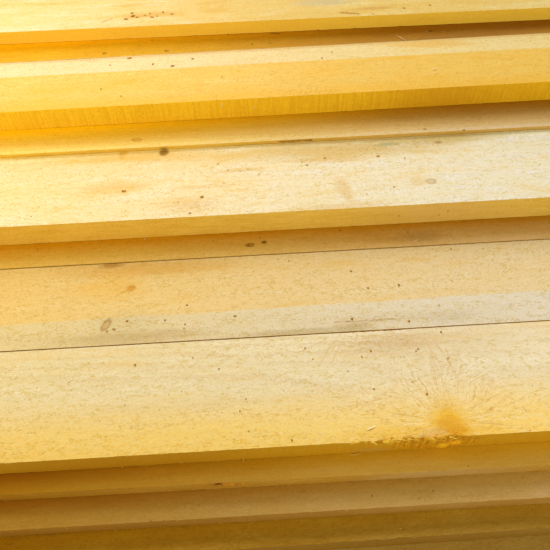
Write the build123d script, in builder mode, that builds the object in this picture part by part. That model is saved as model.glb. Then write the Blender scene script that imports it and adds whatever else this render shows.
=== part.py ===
from build123d import *
import math
import os
import random
from typing import NamedTuple

# A close-piled stack of rough-sawn softwood boards.
# +X runs along the boards, the stepped front faces -Y and +Z is up.
# The origin is in the middle of the stack's footprint, on the ground.
# Layers and boards are counted from 1: layer 1 lies on the ground, board 1 is the front one.

# One board, as sawn
board_length = 2400.0
length_spread = 5.0
board_width = 100.0
width_spread = 2.5
cut_skew = 0.9

# How much some front boards are plainly wider or narrower than the rest
wide_board_extra = 3.0
medium_board_extra = 2.0
narrow_board_lack = 6.0

# The thicknesses that such boards are sawn to
slat_thickness = 16.0
thin_thickness = 19.0
common_thickness = 25.0
medium_thickness = 28.0
heavy_thickness = 32.0

# How the boards lie beside each other
seam_gap = 0.9
seam_gap_spread = 0.5
tight_seam_gap = 0.2
end_stagger = 14.0

# How far the front of each layer stands behind the front of the layer below it
step_to_layer_2 = 12.0
step_to_layer_3 = 20.9
step_to_layer_4 = 22.8
step_to_layer_5 = 18.3
step_to_layer_6 = 229.3
step_to_layer_7 = 144.6
step_to_layer_8 = 127.7
step_to_layer_9 = 124.0

# How far some layers are turned from the rest, in degrees, seen from above
turn_of_layer_2 = 0.36
turn_of_layer_4 = -0.29
turn_of_layer_7 = 0.37
turn_of_layer_8 = -0.54

# Wane: the round of the log, left on one rear corner and running out as the log tapers
log_radius = 165.0
log_taper = 9.0
wane_on_face = 13.0
wane_on_edge = 11.0
wane_limit = 0.6
wane_share = 0.3
clean_boards = 3

# Drying checks: thin wedges that open in the ends
check_length = 110.0
check_length_spread = 50.0
check_width = 1.4
check_lean = 2.5
check_wander = 0.3
check_share = 0.45

# The saw tore the grain out of one front arris beside a knot
tear_layer = 5
tear_board = 1
tear_position = 141.0
tear_radius = 42.0
tear_depth = 1.6


class Layer(NamedTuple):
    """One layer: its thickness, its boards, its step back, its turn, and where its front boards differ."""

    thickness: float
    count: int
    step: float = 0.0
    turn: float = 0.0
    front_widths: tuple = ()
    front_thickness: float = 0.0
    tight_seams: int = 0


wide_board_width = board_width + wide_board_extra
medium_board_width = board_width + medium_board_extra
narrow_board_width = board_width - narrow_board_lack

layers = [
    Layer(common_thickness, 9),
    Layer(common_thickness, 9, step_to_layer_2, turn_of_layer_2),
    Layer(thin_thickness, 9, step_to_layer_3),
    Layer(slat_thickness, 8, step_to_layer_4, turn_of_layer_4),
    Layer(common_thickness, 8, step_to_layer_5, front_widths=(wide_board_width, narrow_board_width)),
    Layer(
        heavy_thickness,
        6,
        step_to_layer_6,
        front_widths=(medium_board_width,),
        front_thickness=medium_thickness,
        tight_seams=1,
    ),
    Layer(common_thickness, 4, step_to_layer_7, turn_of_layer_7, front_widths=(narrow_board_width,), tight_seams=1),
    Layer(slat_thickness, 3, step_to_layer_8, turn_of_layer_8),
    Layer(common_thickness, 2, step_to_layer_9),
]


class Board(NamedTuple):
    """One board in its layer's own frame: x along the layer and y back from the layer's front."""

    layer: int
    number: int
    front: float
    back: float
    left_front: float
    left_back: float
    right_front: float
    right_back: float
    thickness: float

    def name(self):
        return f"layer_{self.layer}_board_{self.number}"

    def corners(self):
        return [
            (self.left_front, self.front),
            (self.right_front, self.front),
            (self.right_back, self.back),
            (self.left_back, self.back),
        ]

    def uneven(self, trait):
        """A number from -1 to 1 for one trait of this board, the same each time it is asked for."""
        return uneven(self.layer, self.number, trait)

    def chance(self, trait, share):
        """True for that share of the boards."""
        return self.uneven(trait) < 2.0 * share - 1.0


def uneven(layer_number, board_number, trait):
    return random.Random(f"layer {layer_number}, board {board_number}, {trait}").uniform(-1.0, 1.0)


def boards_of(layer_number):
    """Places the boards of one layer side by side, from its front to its back."""
    layer = layers[layer_number - 1]
    front = 0.0
    for number in range(1, layer.count + 1):
        width = board_width + width_spread * uneven(layer_number, number, "width")
        if number <= len(layer.front_widths):
            width = layer.front_widths[number - 1]
        thickness = layer.thickness
        if number == 1 and layer.front_thickness > 0.0:
            thickness = layer.front_thickness
        half_length = (board_length + length_spread * uneven(layer_number, number, "length")) / 2.0
        shift = end_stagger * uneven(layer_number, number, "shift")
        left_skew = cut_skew * uneven(layer_number, number, "left cut")
        right_skew = cut_skew * uneven(layer_number, number, "right cut")
        yield Board(
            layer=layer_number,
            number=number,
            front=front,
            back=front + width,
            left_front=shift - half_length - left_skew,
            left_back=shift - half_length + left_skew,
            right_front=shift + half_length - right_skew,
            right_back=shift + half_length + right_skew,
            thickness=thickness,
        )
        gap = seam_gap + seam_gap_spread * uneven(layer_number, number, "gap")
        if number <= layer.tight_seams:
            gap = tight_seam_gap
        front += width + gap


def beds(middle_x=0.0, middle_y=0.0):
    """The plane that each layer lies on, with its origin at the middle of the layer's front."""
    planes = []
    front = bottom = 0.0
    for layer in layers:
        front += layer.step
        turn = math.radians(layer.turn)
        along = (math.cos(turn), math.sin(turn), 0.0)
        planes.append(Plane(origin=(-middle_x, front - middle_y, bottom), x_dir=along, z_dir=(0.0, 0.0, 1.0)))
        bottom += layer.thickness
    return planes


def footprint_middle(boards):
    """The middle of the plan of all boards, measured from the front of layer 1."""
    planes = beds()
    spots = [planes[b.layer - 1].from_local_coords((x, y, 0.0)) for b in boards for x, y in b.corners()]
    middle_x = (min(s.X for s in spots) + max(s.X for s in spots)) / 2.0
    middle_y = (min(s.Y for s in spots) + max(s.Y for s in spots)) / 2.0
    return middle_x, middle_y


def has_wane(board):
    """Only boards from the outside of a log have wane, and those at the stepped front are clean."""
    under_top = board.layer < len(layers)
    if under_top and board.number <= clean_boards:
        return False
    return board.chance("wane", wane_share) or board.name() == f"layer_{len(layers)}_board_{layers[-1].count}"


def log_cone(board):
    """The tapering log that holds the board but for one rear corner: its place and its two radii."""
    wane_up = board.chance("wane faces up", 0.5)
    inward = -1.0 if wane_up else 1.0
    corner_z = board.thickness if wane_up else 0.0
    on_edge = min(wane_on_edge, board.thickness * wane_limit)
    chord = math.hypot(wane_on_face, on_edge)
    rise = math.sqrt(log_radius**2 - (chord / 2.0) ** 2)
    axis_y = board.back - wane_on_face / 2.0 - rise * on_edge / chord
    axis_z = corner_z + inward * (on_edge / 2.0 + rise * wane_on_face / chord)
    middle_x = (board.left_front + board.right_front) / 2.0
    radii = (log_radius, log_radius + log_taper)
    if board.chance("log turned round", 0.5):
        radii = radii[::-1]
    return Location((middle_x, axis_y, axis_z), (0.0, 90.0, 0.0)), radii


def check_wedge(board, side):
    """The plan of one drying check: open beyond one end of the board and closed in the wood."""
    across = 0.5 + check_wander * board.uneven(f"check place {side}")
    depth = check_length + check_length_spread * board.uneven(f"check depth {side}")
    mouth_y = board.front + across * (board.back - board.front)
    apex_y = mouth_y + check_lean * board.uneven(f"check lean {side}")
    if side < 0:
        end_x = board.left_front + across * (board.left_back - board.left_front)
    else:
        end_x = board.right_front + across * (board.right_back - board.right_front)
    outside_x = end_x + side * (cut_skew + check_width)
    return [
        (outside_x, mouth_y - check_width / 2.0),
        (outside_x, mouth_y + check_width / 2.0),
        (end_x - side * depth, apex_y),
    ]


def make_board(board, bed):
    """One sawn board: its plan with two slightly skew saw cuts, its wane, its checks and its tear."""
    with BuildPart(bed) as piece:
        with BuildSketch(bed):
            with BuildLine():
                Polyline(board.corners(), close=True)
            make_face()
        extrude(amount=board.thickness)
        if has_wane(board):
            place, radii = log_cone(board)
            with Locations(place):
                Cone(
                    bottom_radius=radii[0],
                    top_radius=radii[1],
                    height=board_length + 2.0 * (length_spread + cut_skew),
                    mode=Mode.INTERSECT,
                )
        for side in (-1, 1):
            if board.chance(f"check at {side}", check_share):
                with BuildSketch(bed):
                    with BuildLine():
                        Polyline(check_wedge(board, side), close=True)
                    make_face()
                extrude(amount=board.thickness, mode=Mode.SUBTRACT)
        if (board.layer, board.number) == (tear_layer, tear_board):
            reach = (tear_radius - tear_depth) / math.sqrt(2.0)
            with Locations((tear_position, board.front - reach, board.thickness + reach)):
                Sphere(tear_radius, mode=Mode.SUBTRACT)
    piece.part.label = board.name()
    return piece.part


os.makedirs("parts", exist_ok=True)
boards = [board for number in range(1, len(layers) + 1) for board in boards_of(number)]
planes = beds(*footprint_middle(boards))
for board in boards:
    export_step(make_board(board, planes[board.layer - 1]), f"parts/{board.name()}.step")
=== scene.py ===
"""Dresses a close-piled stack of rough-sawn softwood boards, in metres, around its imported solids."""

import math
import random

import bmesh
import bpy
import numpy as np
from bpy.props import FloatProperty, FloatVectorProperty, IntProperty, PointerProperty
from mathutils import Matrix, Vector


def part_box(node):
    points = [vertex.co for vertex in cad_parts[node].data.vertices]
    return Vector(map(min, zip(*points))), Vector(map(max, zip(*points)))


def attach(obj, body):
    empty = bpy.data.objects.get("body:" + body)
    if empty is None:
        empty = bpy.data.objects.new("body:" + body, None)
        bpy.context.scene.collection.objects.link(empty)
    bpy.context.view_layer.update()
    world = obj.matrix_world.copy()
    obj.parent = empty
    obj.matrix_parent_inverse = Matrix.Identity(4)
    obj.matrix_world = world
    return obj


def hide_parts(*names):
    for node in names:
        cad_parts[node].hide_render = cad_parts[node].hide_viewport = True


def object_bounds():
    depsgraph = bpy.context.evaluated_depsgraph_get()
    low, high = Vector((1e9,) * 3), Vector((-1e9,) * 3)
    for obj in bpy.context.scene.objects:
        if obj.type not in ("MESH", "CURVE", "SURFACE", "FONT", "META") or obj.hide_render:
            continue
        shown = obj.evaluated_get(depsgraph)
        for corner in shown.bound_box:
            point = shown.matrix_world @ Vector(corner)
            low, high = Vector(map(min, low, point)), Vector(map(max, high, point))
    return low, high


bl_info = {
    "name": "Sawn Board Stack",
    "version": (1, 0, 0),
    "blender": (4, 5, 0),
    "location": "3D View > Sidebar > Boards",
    "description": "Gives a stack of rough-sawn boards its wood, its torn arrises and its dirt",
    "category": "Object",
}

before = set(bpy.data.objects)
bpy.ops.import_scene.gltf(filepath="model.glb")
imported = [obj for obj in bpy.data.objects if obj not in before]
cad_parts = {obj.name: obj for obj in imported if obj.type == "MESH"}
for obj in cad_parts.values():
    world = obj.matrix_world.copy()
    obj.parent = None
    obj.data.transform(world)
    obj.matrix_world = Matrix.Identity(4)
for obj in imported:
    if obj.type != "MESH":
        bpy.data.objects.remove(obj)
cad_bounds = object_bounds()

MM = 0.001


def linear(red, green, blue):
    """A colour as read off a screen, from 0 to 255, in Blender's linear numbers."""
    parts = [part / 255.0 for part in (red, green, blue)]
    return tuple(p / 12.92 if p <= 0.04045 else ((p + 0.055) / 1.055) ** 2.4 for p in parts)


def length_property(name, description, millimetres):
    return FloatProperty(name=name, description=description, default=millimetres * MM, unit="LENGTH")


def angle_property(name, description, degrees):
    return FloatProperty(name=name, description=description, default=math.radians(degrees), subtype="ANGLE")


def colour_property(name, description, default):
    return FloatVectorProperty(name=name, description=description, default=default, subtype="COLOR")


class BoardSizes(bpy.types.PropertyGroup):
    """Sizes of the saw's traces and of the wear on the boards."""

    grid: length_property("Grid", "Spacing of the mesh where the view is close", 2.0)
    coarse_grid: length_property("Coarse grid", "Spacing of the mesh along the rest of a board", 18.0)
    relief: length_property("Relief", "Depth of the torn fibres in a sawn face", 0.3)
    arris_wear: length_property("Arris wear", "Depth to which an arris is broken away", 0.5)
    saw_pitch: length_property("Saw pitch", "Distance between the saw's marks", 5.5)
    ring_width: length_property("Ring width", "Width of one year's growth", 3.4)
    fibre_length: length_property("Fibre length", "Length of a loose fibre on an arris", 4.0)
    fibre_width: length_property("Fibre width", "Thickness of a loose fibre", 0.3)
    fibres_per_metre: IntProperty(name="Fibres", description="Loose fibres on each metre of arris", default=45)
    pulled_per_metre: IntProperty(name="Pulled fibres", description="On each metre of the torn arris", default=260)
    fluff_per_metre: IntProperty(name="Fluff", description="Short fibres on each metre of the torn edge", default=2600)
    speck_size: length_property("Speck size", "Width of a bit of dirt or bark", 0.9)
    specks_per_square_metre: IntProperty(name="Specks", description="Bits of dirt on each square metre", default=1100)
    seed: IntProperty(name="Seed", description="Start of every random draw", default=11)


class BoardColours(bpy.types.PropertyGroup):
    """Colours of fresh sawn softwood and of what lies on it."""

    face: colour_property("Face", "Upper and lower faces", linear(240, 214, 156))
    pale: colour_property("Pale", "Furred and sun-bleached patches", linear(246, 231, 192))
    gold: colour_property("Gold", "Patches with more resin", linear(236, 198, 114))
    edge: colour_property("Edge", "Sawn edges", linear(236, 203, 130))
    late_wood: colour_property("Late wood", "Dark part of a growth ring", linear(214, 166, 96))
    end_grain: colour_property("End grain", "Cross-cut ends", linear(222, 188, 130))
    torn: colour_property("Torn grain", "Places where the saw tore the grain", linear(212, 160, 78))
    knot: colour_property("Knot", "Middle of a knot", linear(176, 122, 60))
    bark: colour_property("Bark", "Bark ring of a dead knot", linear(118, 74, 10))
    dirt: colour_property("Dirt", "Specks of dirt and bark dust", linear(136, 86, 0))
    fibre: colour_property("Fibre", "Loose fibres", linear(250, 220, 130))


class StageSettings(bpy.types.PropertyGroup):
    """Where the camera stands, and the light."""

    focal: FloatProperty(name="Focal length", description="In pixels of the picture", default=590.0)
    picture: FloatProperty(name="Picture", description="Side of the square picture in pixels", default=550.0)
    stand_off: length_property("Stand-off", "From the front arris of layer 5 to the camera's foot", 170.3)
    height: length_property("Height", "Of the camera above the top of layer 5", 465.2)
    pitch: angle_property("Pitch", "Downwards", 53.63)
    yaw: angle_property("Yaw", "To the right", 1.17)
    roll: angle_property("Roll", "Right side of the picture down", -2.26)
    key_light: FloatProperty(name="Key light", description="Strength of the light from behind", default=2.88)
    key_colour: colour_property("Key colour", "Of the light from behind", (0.97, 1.0, 1.03))
    key_size: angle_property("Key size", "Width of the key light in the sky", 40.0)
    key_bearing: angle_property("Key bearing", "Of the key light, from the front round the stack", 178.0)
    key_height: angle_property("Key height", "Of the key light above the horizon", 36.0)
    fill_light: FloatProperty(name="Fill light", description="Strength of the light from in front", default=1.24)
    fill_colour: colour_property("Fill colour", "Of the light from in front", (1.0, 0.95, 0.45))
    fill_size: angle_property("Fill size", "Width of the fill light in the sky", 70.0)
    fill_bearing: angle_property("Fill bearing", "Of the fill light, from the front round the stack", -10.0)
    fill_height: angle_property("Fill height", "Of the fill light above the horizon", 24.0)
    glow_light: FloatProperty(name="Glow", description="Watts of the warm lamp at the left", default=30.0)
    glow_colour: colour_property("Glow colour", "Of the warm lamp at the left", (1.0, 0.64, 0.02))
    glow_spread: angle_property("Glow spread", "Of the warm lamp's beam", 58.0)
    sky_light: FloatProperty(name="Sky light", description="Strength of the light from all round", default=0.28)
    sky_colour: colour_property("Sky colour", "Of the light from all round", (1.0, 0.92, 0.62))
    floor_colour: colour_property("Floor", "Plain pale floor", linear(226, 224, 220))
    floor_half: length_property("Floor half", "Half the side of the floor", 6000.0)


# A plain box has this many triangles, and a board with a cut in it has more
box_triangles = 12
# Knots at random keep this far from the middle of the boards that the picture shows
close_half_length = 0.4


class Plank:
    """What the frame says of one board: its plan corners, its height and its turn."""

    def __init__(self, layer, number):
        self.layer, self.number = layer, number
        self.node = f"layer_{layer}_board_{number}"
        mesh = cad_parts[self.node].data
        spots = np.empty(len(mesh.vertices) * 3)
        mesh.vertices.foreach_get("co", spots)
        spots = spots.reshape(-1, 3)
        self.left_front, self.right_front, self.right_back, self.left_back = (
            spots[np.argmax(side * spots[:, 0] + depth * spots[:, 1])][:2].copy()
            for side, depth in ((-1, -1), (1, -1), (1, 1), (-1, 1))
        )
        low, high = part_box(self.node)
        self.bottom, self.top = low.z, high.z
        self.thickness = high.z - low.z
        self.origin = (self.left_front + self.right_front) / 2.0
        run = self.right_front - self.left_front
        self.length = float(np.hypot(*run))
        self.turn = math.atan2(run[1], run[0])
        self.width = float(np.dot(self.left_back - self.left_front, (-math.sin(self.turn), math.cos(self.turn))))
        self.shaped = len(mesh.polygons) > box_triangles

    def local(self, x, y):
        """A point of the plan as a distance along the board and one back from its front."""
        dx, dy = x - self.origin[0], y - self.origin[1]
        c, s = math.cos(self.turn), math.sin(self.turn)
        return c * dx + s * dy, c * dy - s * dx

    def world(self, u, v):
        """The way back: the plan point at a distance along the board and one back from its front."""
        c, s = math.cos(self.turn), math.sin(self.turn)
        return self.origin[0] + c * u - s * v, self.origin[1] + s * u + c * v


layer_count = 9
planks = {}
for layer in range(1, layer_count + 1):
    number = 1
    while f"layer_{layer}_board_{number}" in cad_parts:
        planks[layer, number] = Plank(layer, number)
        number += 1


def shown_depth(plank):
    """How much of a board's upper face shows in front of the layer that lies on it."""
    if plank.layer == layer_count:
        return plank.width
    above = planks[plank.layer + 1, 1]
    side_gaps = [plank.local(*corner)[1] for corner in (above.left_front, above.right_front)]
    return min(plank.width, max(side_gaps))


class View:
    """The camera as three axes and a place, for finding the point that a pixel of the picture shows."""

    def __init__(self, stage):
        front = planks[5, 1]
        self.focal, self.middle = stage.focal, stage.picture / 2.0
        self.place = Vector((0.0, front.origin[1] - stage.stand_off, front.top + stage.height))
        heading = Vector((math.sin(stage.yaw), math.cos(stage.yaw), 0.0))
        right = Vector((math.cos(stage.yaw), -math.sin(stage.yaw), 0.0))
        up = Vector((0.0, 0.0, 1.0))
        self.forward = heading * math.cos(stage.pitch) - up * math.sin(stage.pitch)
        level_up = heading * math.sin(stage.pitch) + up * math.cos(stage.pitch)
        self.right = right * math.cos(stage.roll) + level_up * math.sin(stage.roll)
        self.up = level_up * math.cos(stage.roll) - right * math.sin(stage.roll)

    def meet(self, pixel, height):
        """Where the line of sight through a pixel meets the level of that height."""
        a, b = (pixel[0] - self.middle) / self.focal, (self.middle - pixel[1]) / self.focal
        ray = self.forward + self.right * a + self.up * b
        return self.place + ray * ((height - self.place.z) / ray.z)

    def on_face(self, plank, pixel):
        """The same, as distances along and across a board's upper face."""
        spot = self.meet(pixel, plank.top)
        return plank.local(spot.x, spot.y)

    def on_edge(self, plank, pixel):
        """Where the line of sight meets a board's front edge: the distance along it and the height on it."""
        low, high = (self.meet(pixel, height) for height in (plank.bottom, plank.top))
        low_v, high_v = (plank.local(spot.x, spot.y)[1] for spot in (low, high))
        spot = low.lerp(high, low_v / (low_v - high_v))
        return plank.local(spot.x, spot.y)[0], spot.z - plank.bottom

    def find(self, pixel):
        """What a pixel shows: a point in space, and the board and the side of it that carry the point."""
        for plank in sorted(planks.values(), key=lambda one: (-one.top, one.number)):
            u, v = self.on_face(plank, pixel)
            if 0.0 <= v <= min(plank.width, shown_depth(plank) + 1.0 * MM):
                return plank, "face", Vector((*plank.world(u, v), plank.top))
            if plank.number == 1:
                u, height = self.on_edge(plank, pixel)
                if 0.0 <= height <= plank.thickness:
                    return plank, "edge", Vector((*plank.world(u, 0.0), plank.bottom + height))
        raise RuntimeError(f"the pixel {pixel} shows no board")


class Wire:
    """One output socket. Arithmetic on it adds Math nodes, so that shader maths reads as a formula."""

    def __init__(self, nodes, socket):
        self.nodes, self.socket = nodes, socket

    def math(self, operation, *values, clamp=False):
        settings = {"operation": operation, "use_clamp": clamp}
        return self.nodes.add("ShaderNodeMath", settings, dict(enumerate((self,) + values)))

    def clamped(self):
        return self.math("ADD", 0.0, clamp=True)

    def __add__(self, other):
        return self.math("ADD", other)

    def __sub__(self, other):
        return self.math("SUBTRACT", other)

    def __rsub__(self, other):
        return (self * -1.0) + other

    def __mul__(self, other):
        return self.math("MULTIPLY", other)

    def __abs__(self):
        return self.math("ABSOLUTE")

    __radd__ = __add__
    __rmul__ = __mul__


def hypotenuse(a, b):
    return (a * a + b * b).math("SQRT")


class Nodes:
    """A node tree, and the one method that adds any node to it."""

    def __init__(self, tree):
        self.tree = tree

    def add(self, kind, settings=None, inputs=None, out=0):
        node = self.tree.nodes.new(kind)
        for name, value in (settings or {}).items():
            setattr(node, name, value)
        for name, value in (inputs or {}).items():
            if isinstance(value, Wire):
                self.tree.links.new(value.socket, node.inputs[name])
            else:
                node.inputs[name].default_value = value
        return Wire(self, node.outputs[out])

    def outputs(self, wire, *names):
        """Other outputs of the node that a wire comes from."""
        return [Wire(self, wire.socket.node.outputs[name]) for name in names]

    def split(self, vector):
        """The x, y and z of a vector."""
        return self.outputs(self.add("ShaderNodeSeparateXYZ", inputs={0: vector}), 0, 1, 2)

    def join(self, x, y, z):
        return self.add("ShaderNodeCombineXYZ", inputs={0: x, 1: y, 2: z})

    def vector(self, operation, *values, **others):
        return self.add("ShaderNodeVectorMath", {"operation": operation}, {**dict(enumerate(values)), **others})

    def mix(self, factor, a, b, blend="MIX"):
        a, b = ((*c, 1.0) if isinstance(c, tuple) else c for c in (a, b))
        settings = {"data_type": "RGBA", "blend_type": blend}
        return self.add("ShaderNodeMix", settings, {0: factor, 6: a, 7: b}, out=2)

    def step(self, value, low, high):
        """0 below low and 1 above high, with a smooth rise between them. A high below low turns it round."""
        if low > high:
            return 1.0 - self.step(value, high, low)
        settings = {"interpolation_type": "SMOOTHSTEP"}
        return self.add("ShaderNodeMapRange", settings, {"Value": value, "From Min": low, "From Max": high})

    def tint(self, colour, amount, channels):
        """A colour times 1 and an amount, which acts on red, green and blue as strongly as the channels say."""
        return self.vector("MULTIPLY", colour, self.vector("MULTIPLY_ADD", amount, channels, (1.0, 1.0, 1.0)))

    def noise(self, vector, scale=1.0, detail=2.0, roughness=0.5, shift=0.0):
        """Noise with its middle at 0, about from -0.5 to 0.5."""
        moved = self.vector("ADD", vector, (shift, shift * 1.7, shift * 0.6))
        inputs = {"Vector": moved, "Scale": scale, "Detail": detail, "Roughness": roughness}
        return self.add("ShaderNodeTexNoise", {"noise_dimensions": "3D"}, inputs) - 0.5


def new_material(name):
    """A material with one Principled shader, and its nodes."""
    material = bpy.data.materials.new(name)
    material.use_nodes = True
    tree = material.node_tree
    tree.nodes.clear()
    shader = tree.nodes.new("ShaderNodeBsdfPrincipled")
    output = tree.nodes.new("ShaderNodeOutputMaterial")
    tree.links.new(shader.outputs[0], output.inputs["Surface"])
    return material, Nodes(tree), shader


class Look:
    """How one board's wood differs from the rest: its colours, its marks and its traits, and its foot, which is painted
    shade in front of the layer above.
    """

    def __init__(
        self, colours=(), *marks, rings=0.15, saw=0.4, tear=0.35, pits=0.4, upright=0.15, streaks=0.6, rough=1.0,
        curls=0.7, foot=None, step_shade_reach=24.0,
    ):
        own = [linear(*colour) for colour in colours]
        self.colours = own + [None] * (4 - len(own))
        self.marks = marks
        self.rings, self.saw, self.tear, self.pits = rings, saw, tear, pits
        self.upright, self.streaks, self.rough, self.curls = upright, streaks, rough, curls
        self.foot, self.step_shade_reach = foot, step_shade_reach * MM


class Grain:
    """The coordinates, masks and noises that every mark on a board's wood is drawn with."""

    def __init__(self, nodes, plank, chance):
        self.nodes, self.plank = nodes, plank
        inputs = {
            "Vector": nodes.add("ShaderNodeTexCoord", out="Object"),
            "Location": (plank.origin[0], plank.origin[1], plank.bottom),
            "Rotation": (0.0, 0.0, plank.turn),
        }
        self.local = nodes.add("ShaderNodeMapping", {"vector_type": "TEXTURE"}, inputs)
        self.along, self.across, self.up = nodes.split(self.local)
        facing_x, facing_y, facing_z = nodes.split(nodes.add("ShaderNodeNewGeometry", out="Normal"))
        self.end = nodes.step(abs(facing_x), 0.6, 0.8)
        self.edge = nodes.step(abs(facing_y), 0.55, 0.85)
        self.top = nodes.step(facing_z, 0.6, 0.8)
        self.shift = chance.uniform(0.0, 40.0)
        self.broad = self.noise(3.0, 14.0, 2.0, 0.5)
        self.clouds = self.noise(13.0, 62.0, 4.0, 0.68)
        self.wander = self.noise(9.0, 60.0, 2.0, 0.6)
        self.fine_wander = self.noise(140.0, 300.0, 2.0, 0.6)
        wiggle = nodes.join(self.fine_wander * (3.0 * MM), self.fine_wander * (5.0 * MM), self.wander * (4.0 * MM))
        self.warped = nodes.vector("ADD", self.local, wiggle)
        self.dash = self.noise(230.0, 560.0, 2.0, 0.6, self.warped)
        self.fibre = self.noise(420.0, 1000.0, 2.0, 0.65, self.warped)
        stood = nodes.vector("MULTIPLY", self.warped, (420.0, 420.0, 26.0))
        self.upright = nodes.noise(stood, 1.0, 2.0, 0.6, self.shift)
        self.fuzz = self.noise(760.0, 820.0, 1.0, 0.6)
        self.dots = self.noise(430.0, 620.0, 1.0, 0.5)
        self.thread = self.noise(26.0, 640.0, 3.0, 0.6, self.warped)
        self.curl = self.noise(110.0, 400.0, 2.0, 0.55, self.warped)
        self.curl_gaps = self.noise(120.0, 300.0, 2.0, 0.5)
        self.torn = 0.0

    def noise(self, along, across, detail, roughness, place=None):
        """Noise stretched along the grain: how many waves a metre has along and across it."""
        self.shift += 5.3
        stretched = self.nodes.vector("MULTIPLY", place or self.local, (along, across, across))
        return self.nodes.noise(stretched, 1.0, detail, roughness, self.shift)


# What a colour is multiplied by where the wood is hurt. Blue goes first, so that it turns gold and not grey.
torn_tint, shred_tint, pit_tint = (0.82, 0.66, 0.28), (0.80, 0.66, 0.30), (0.87, 0.76, 0.42)
curl_tint, bark_tint = (0.88, 0.77, 0.42), (0.36, 0.22, 0.05)
# How strongly fine texture and the streaks on an edge act on red, green and blue
fine_channels, streak_channels = (0.5, 0.75, 2.2), (-0.14, -0.24, -0.6)


class Mark:
    """Something that one board shows at one place: an oval about a pixel of the picture."""

    on_edge = False

    def __init__(self, pixel, length, width, lean=0.0, on_edge=False):
        self.pixel, self.length, self.width, self.lean, self.on_edge = pixel, length * MM, width * MM, lean, on_edge

    def side(self, grain, view):
        """How a pixel is found on the mark's side of the board, and that side's second coordinate and mask."""
        if self.on_edge:
            return view.on_edge, grain.up, grain.edge
        return view.on_face, grain.across, grain.top

    def place(self, grain, view):
        find, self.second, self.mask = self.side(grain, view)
        self.u, self.v = find(grain.plank, self.pixel)
        self.reach = self.oval(grain, self.length / 2.0, self.width / 2.0, 0.5)

    def oval(self, grain, half_length, half_width, ragged):
        """Distance from the middle of the oval, 1 at its rim."""
        du, dv = grain.along - self.u, self.second - self.v
        c, s = math.cos(self.lean), math.sin(self.lean)
        run = (du * c + dv * s) * (1.0 / half_length)
        rise = (dv * c - du * s) * (1.0 / half_width)
        return hypotenuse(run, rise) + grain.fine_wander * ragged

    def bend(self, grain, rings):
        """The growth rings, bent by this mark."""
        return rings

    def paint(self, grain, colour):
        return colour


class Knot(Mark):
    """A knot: its bark ring, its heart, the rings that close round it and its hollow."""

    def __init__(self, pixel, length, width, lean=0.0, ring=0.7, heart=0.5, colour=None, pull=1.0, on_edge=False):
        super().__init__(pixel, length, width, lean, on_edge)
        self.ring, self.heart, self.colour, self.pull = ring, heart, colour, pull

    def bend(self, grain, rings):
        wide = self.oval(grain, self.length * 1.5, self.width * 2.2, 0.1)
        return rings + (wide * wide * -1.0).math("EXPONENT") * (2.2 * self.pull)

    def paint(self, grain, colour):
        n, c = grain.nodes, bpy.context.scene.board_colours
        heart = n.step(self.reach, 1.15, 0.6) * self.heart * self.mask
        broken = (0.75 + grain.dash * 2.5 + grain.fibre * 1.5).clamped()
        rim = n.step(self.reach, 0.5, 0.95) * n.step(self.reach, 1.45, 1.0) * broken * self.ring * self.mask
        colour = n.mix(heart, colour, linear(*self.colour) if self.colour else tuple(c.knot))
        return n.mix(rim, colour, bark_tint, "MULTIPLY")


class Fan(Mark):
    """Torn grain that spreads like rays from a knot."""

    def __init__(self, pixel, reach, strength=0.5):
        super().__init__(pixel, 2.0 * reach, 2.0 * reach)
        self.strength = strength

    def paint(self, grain, colour):
        n, c = grain.nodes, bpy.context.scene.board_colours
        du, dv = grain.along - self.u, grain.across - self.v
        bearing = dv.math("ARCTAN2", du) + grain.wander * 0.5
        ray = n.noise(n.join(self.reach * 4.0, bearing * 24.0, 0.0), 1.0, 2.0, 0.6, grain.shift)
        near = n.step(self.reach, 1.0, 0.25) * n.step(self.reach, 0.1, 0.25) * grain.top
        dark = n.step(ray, 0.02, 0.16) * near * self.strength
        light = n.step(ray, -0.04, -0.16) * near * (self.strength * 0.6)
        return n.mix(light, n.mix(dark, colour, tuple(c.torn)), tuple(c.pale))


class Patch(Mark):
    """A soft-rimmed patch of another colour."""

    def __init__(self, pixel, length, width, colour, strength=0.6, soft=0.6, lean=0.0, on_edge=False):
        super().__init__(pixel, length, width, lean, on_edge)
        self.colour, self.strength, self.soft = linear(*colour), strength, soft

    def inside(self, grain, outer, inner):
        return grain.nodes.step(self.reach + grain.clouds * 1.6, outer, inner) * self.strength * self.mask

    def paint(self, grain, colour):
        inside = self.inside(grain, 1.0 + self.soft, max(1.0 - self.soft, 0.0))
        return grain.nodes.mix(inside, colour, self.colour)


class Shreds(Patch):
    """A patch of torn fibres that hang down, with dark gaps between them."""

    def paint(self, grain, colour):
        n = grain.nodes
        fibres = n.step(grain.upright + grain.dash * 0.7, -0.05, 0.09)
        shreds = n.mix(fibres, n.mix(1.0, colour, shred_tint, "MULTIPLY"), self.colour)
        return n.mix(self.inside(grain, 1.3, 0.8), colour, shreds)


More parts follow.
